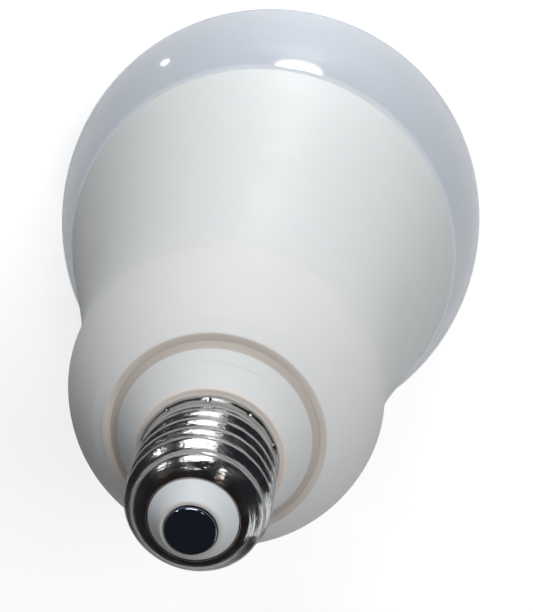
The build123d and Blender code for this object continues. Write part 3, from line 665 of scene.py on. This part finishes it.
def diffuser_curve(inset, side_count, dome_count):
    """The cover's outline from the seam over the rim to the apex, moved in by a wall."""
    spread = RIM_R - SEAM_R
    radius = (spread ** 2 + DIFFUSER_SIDE ** 2) / (2 * spread)
    points = []
    for z in np.linspace(SEAM_Z, RIM_Z, side_count):
        drop = z - RIM_Z
        points.append((RIM_R - radius + math.sqrt(radius ** 2 - drop ** 2) - inset, z))
    depth = RIM_Z - APEX_Z
    dome = bezier([
        (RIM_R - inset, RIM_Z),
        (RIM_R - inset, RIM_Z - 0.70 * depth + 0.5 * inset),
        (0.69 * RIM_R, APEX_Z + inset),
        (0.0, APEX_Z + inset),
    ], dome_count)
    return points + dome[1:]


def make_diffuser():
    """Opal cover with its own wall and a fine step at the seam."""
    step = 0.08 * MM
    outer = diffuser_curve(0.0, 60, 70)
    seam = [(SEAM_R - 0.35 * MM, SEAM_Z), (SEAM_R + step, SEAM_Z - 0.22 * MM)]
    inner = diffuser_curve(DIFFUSER_WALL, 24, 30)[::-1]
    piece = lathe("diffuser_cover", seam + outer[2:] + inner)
    finish_piece(piece, "diffuser", diffuser_material())


# ---- inner nodes keep their CAD shape and get a finish each --------------------------------

def dress_inner_nodes():
    """Procedural materials for the CAD nodes that stay."""
    rows = {row["slot"]: row for row in frame["record"]["materials"]}
    made = {}
    for node, piece in frame["nodes"].items():
        slot = SLOT_OF[node]
        if slot not in made:
            made[slot] = inner_material(slot, rows[slot])
        for place in piece.material_slots:
            place.material = made[slot]


# ---- stage ---------------------------------------------------------------------------------

def make_floor():
    """Flat pale floor under the lamp. Its own brightness only shows in what the camera sees."""
    mesh = bpy.data.meshes.new("floor")
    corners = [(-1, -1), (1, -1), (1, 1), (-1, 1)]
    places = [(FLOOR_REACH * x, FLOOR_REACH * y, APEX_Z) for x, y in corners]
    mesh.from_pydata(places, [], [(0, 1, 2, 3)])
    floor = bpy.data.objects.new("floor", mesh)
    bpy.context.scene.collection.objects.link(floor)
    n = plastic("pale_floor", FLOOR_WHITE, 0.7)
    n.shader.inputs["Emission Color"].default_value = (1.0, 1.0, 1.0, 1.0)
    seen = n.tree.nodes.new("ShaderNodeLightPath").outputs["Is Camera Ray"]
    n.link(n.math("MULTIPLY", seen, FLOOR_GLOW), n.shader.inputs["Emission Strength"])
    mesh.materials.append(n.material)


def area_light(name, place, target, size, power, shape="DISK", size_y=None, glints=True):
    """A soft light at a place, aimed at a target."""
    light = bpy.data.lights.new(name, "AREA")
    light.shape = shape
    light.size = size
    if size_y:
        light.size_y = size_y
    light.energy = power
    lamp = bpy.data.objects.new(name, light)
    bpy.context.scene.collection.objects.link(lamp)
    aim = Vector(target) - Vector(place)
    lamp.rotation_euler = aim.to_track_quat("-Z", "Y").to_euler()
    lamp.location = place
    lamp.visible_camera = False
    lamp.visible_glossy = glints


def make_world():
    """A dim room, a little cooler in what the metal reflects, and a pale backdrop in view."""
    world = bpy.data.worlds.new("studio")
    bpy.context.scene.world = world
    world.use_nodes = True
    tree = world.node_tree
    path = tree.nodes.new("ShaderNodeLightPath")

    def sky(tint, strength):
        shade = tree.nodes.new("ShaderNodeBackground")
        shade.inputs["Color"].default_value = tint
        shade.inputs["Strength"].default_value = strength
        return shade.outputs[0]

    def pick(kind, otherwise, chosen):
        choice = tree.nodes.new("ShaderNodeMixShader")
        tree.links.new(path.outputs[kind], choice.inputs[0])
        tree.links.new(otherwise, choice.inputs[1])
        tree.links.new(chosen, choice.inputs[2])
        return choice.outputs[0]

    room = pick("Is Glossy Ray", sky(ROOM_TINT, ROOM_FILL), sky(REFLECTED_TINT, REFLECTED_FILL))
    backdrop = pick("Is Camera Ray", room, sky(ROOM_TINT, BACKDROP_LEVEL))
    tree.links.new(backdrop, tree.nodes["World Output"].inputs["Surface"])


def around(azimuth, elevation, distance=LIGHT_REACH):
    """A place round the lamp's middle, by compass angle and height angle in degrees."""
    turn, rise = math.radians(azimuth), math.radians(elevation)
    return (
        distance * math.cos(rise) * math.cos(turn),
        distance * math.cos(rise) * math.sin(turn),
        LAMP_MIDDLE[2] + distance * math.sin(rise),
    )


def make_lights():
    """A window-like key and a low one behind the lamp, fills right, left and front, and glints."""
    area_light("key", around(91, 33), LAMP_MIDDLE, 0.36, 1.22, "RECTANGLE", 0.2)
    area_light("back", around(84, 12), LAMP_MIDDLE, 0.36, 0.36, "RECTANGLE", 0.14)
    area_light("right", around(45, 50), LAMP_MIDDLE, 0.3, 1.36, glints=False)
    area_light("right_glint", around(47, 52), LAMP_MIDDLE, 0.08, 0.09)
    area_light("left", around(140, 30), LAMP_MIDDLE, 0.06, 0.20)
    area_light("left_fill", around(160, 25), LAMP_MIDDLE, 0.3, 0.08, glints=False)
    area_light("front", around(282, 24), LAMP_MIDDLE, 0.26, 0.78, glints=False)
    area_light("card", around(325, 8, 0.50), LAMP_MIDDLE, 0.30, 0.16, "RECTANGLE", 0.16)
    # two small ones close by the diffuser make its two highlights
    cover_point = (0.010, 0.053, -0.148)
    area_light("low", (0.0235, 0.132, -0.190), cover_point, 0.038, 0.028, "ELLIPSE", 0.014)
    side_point = (-0.027, 0.052, -0.160)
    area_light("spot", (-0.052, 0.0755, -0.198), side_point, 0.005, 0.0003)


def make_camera():
    """Looks down on the cap from a little to one side, with the lamp leaning up and right."""
    data = bpy.data.cameras.new("camera")
    data.sensor_width = CAMERA_SENSOR
    data.lens = CAMERA_LENS
    data.clip_start = 0.01
    camera = bpy.data.objects.new("camera", data)
    bpy.context.scene.collection.objects.link(camera)
    right = Vector(CAMERA_RIGHT)
    back = Vector(CAMERA_BACK)
    up = back.cross(right)
    turn = Matrix((right, up, back)).transposed()
    camera.matrix_world = Matrix.Translation(CAMERA_PLACE) @ turn.to_4x4()
    bpy.context.scene.camera = camera


make_camera()
make_world()
make_lights()
make_floor()
dress_inner_nodes()
make_contact()
make_insulator()
make_shell()
make_collar()
make_housing()
make_diffuser()
bpy.context.scene.view_settings.view_transform = "Standard"
